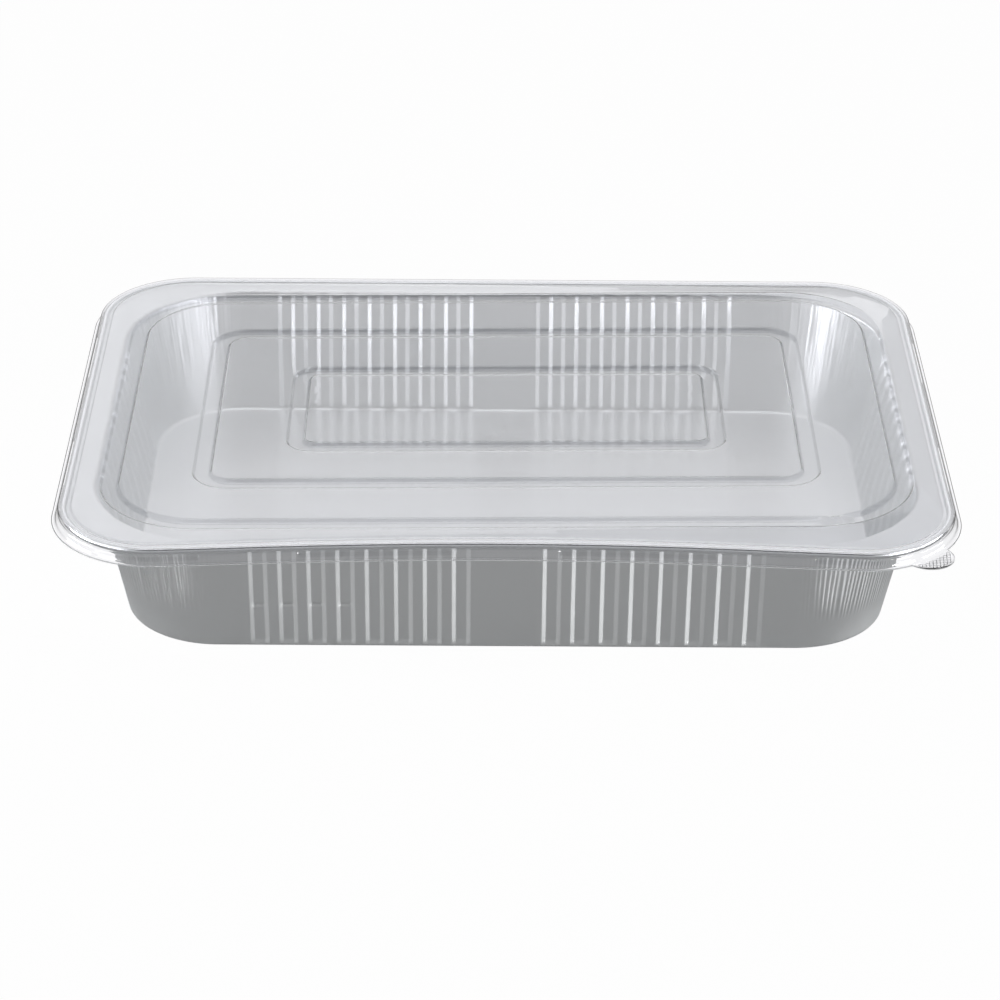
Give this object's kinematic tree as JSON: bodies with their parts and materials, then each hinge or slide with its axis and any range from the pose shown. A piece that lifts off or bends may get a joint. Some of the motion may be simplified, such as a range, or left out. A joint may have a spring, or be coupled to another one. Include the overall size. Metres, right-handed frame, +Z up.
{
  "type": "foil food container with clear lid",
  "caption": "Shallow rectangular foil tray with fluted walls and a rolled rim, closed by a clear press-on lid with stiffening grooves and a corner pull tab.",
  "frame": {"origin": "middle of the tray's underside, on the table", "axes": "+X along the tray's length, towards the end with the pull tab; +Y towards the back; +Z up, the way the lid lifts off"},
  "size_m": [0.3384, 0.2463, 0.0547],
  "materials": {
    "foil": "satin aluminium foil, slightly creased",
    "clear_film": "clear glossy thermoformed plastic sheet"
  },
  "bodies": {
    "tray": {"tray": "foil"},
    "lid": {"lid": "clear_film"}
  },
  "joints": [
    {"name": "lid_lift", "type": "slide", "parent": "tray", "child": "lid", "axis": [0, 0, 1], "range_m": [0, 0.07]}
  ]
}
